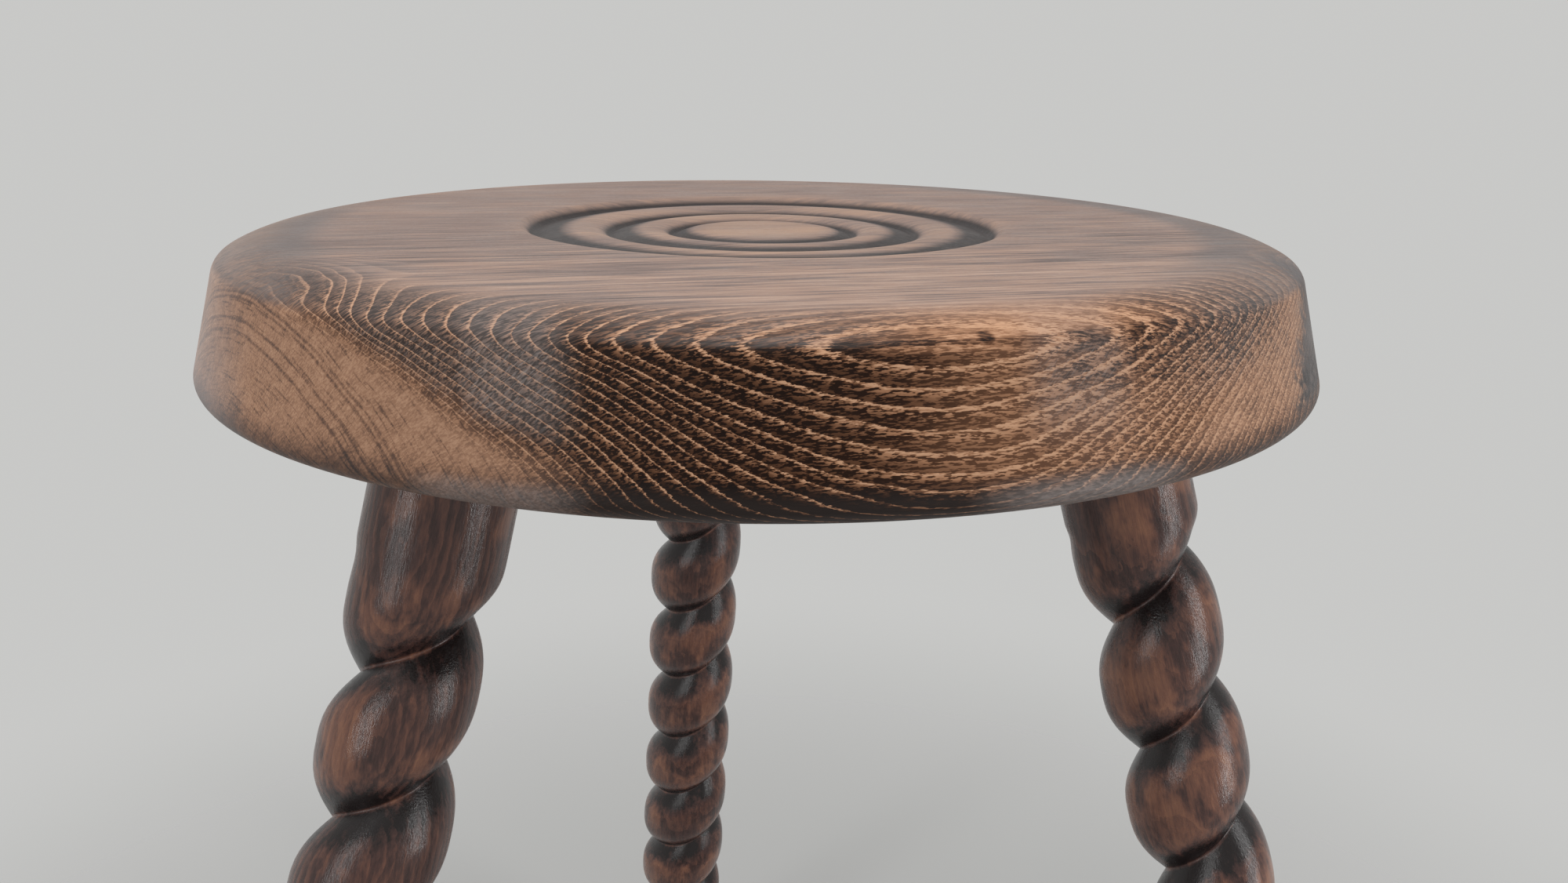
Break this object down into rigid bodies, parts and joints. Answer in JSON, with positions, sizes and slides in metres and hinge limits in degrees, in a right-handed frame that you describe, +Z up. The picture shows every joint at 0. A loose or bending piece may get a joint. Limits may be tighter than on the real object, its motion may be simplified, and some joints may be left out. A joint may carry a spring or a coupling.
{
  "type": "tripod stool",
  "caption": "Round wooden stool with a flared turned seat, turned rings in its top and splayed single-start barley twist legs tenoned into blind mortises.",
  "frame": {"origin": "on the floor, at the bottom centre of the stool's bounding box; the seat's axis stands in front of it, towards -Y", "axes": "+Z up, +Y towards the rear leg, +X to the right of someone looking from the front"},
  "size_m": [0.4204, 0.3898, 0.45],
  "materials": {
    "seat_wood": "stained and waxed, satin",
    "leg_wood": "dark stained and waxed, semi-gloss"
  },
  "bodies": {
    "root": {"seat": "seat_wood", "leg_left": "leg_wood", "leg_right": "leg_wood", "leg_rear": "leg_wood"}
  },
  "joints": []
}
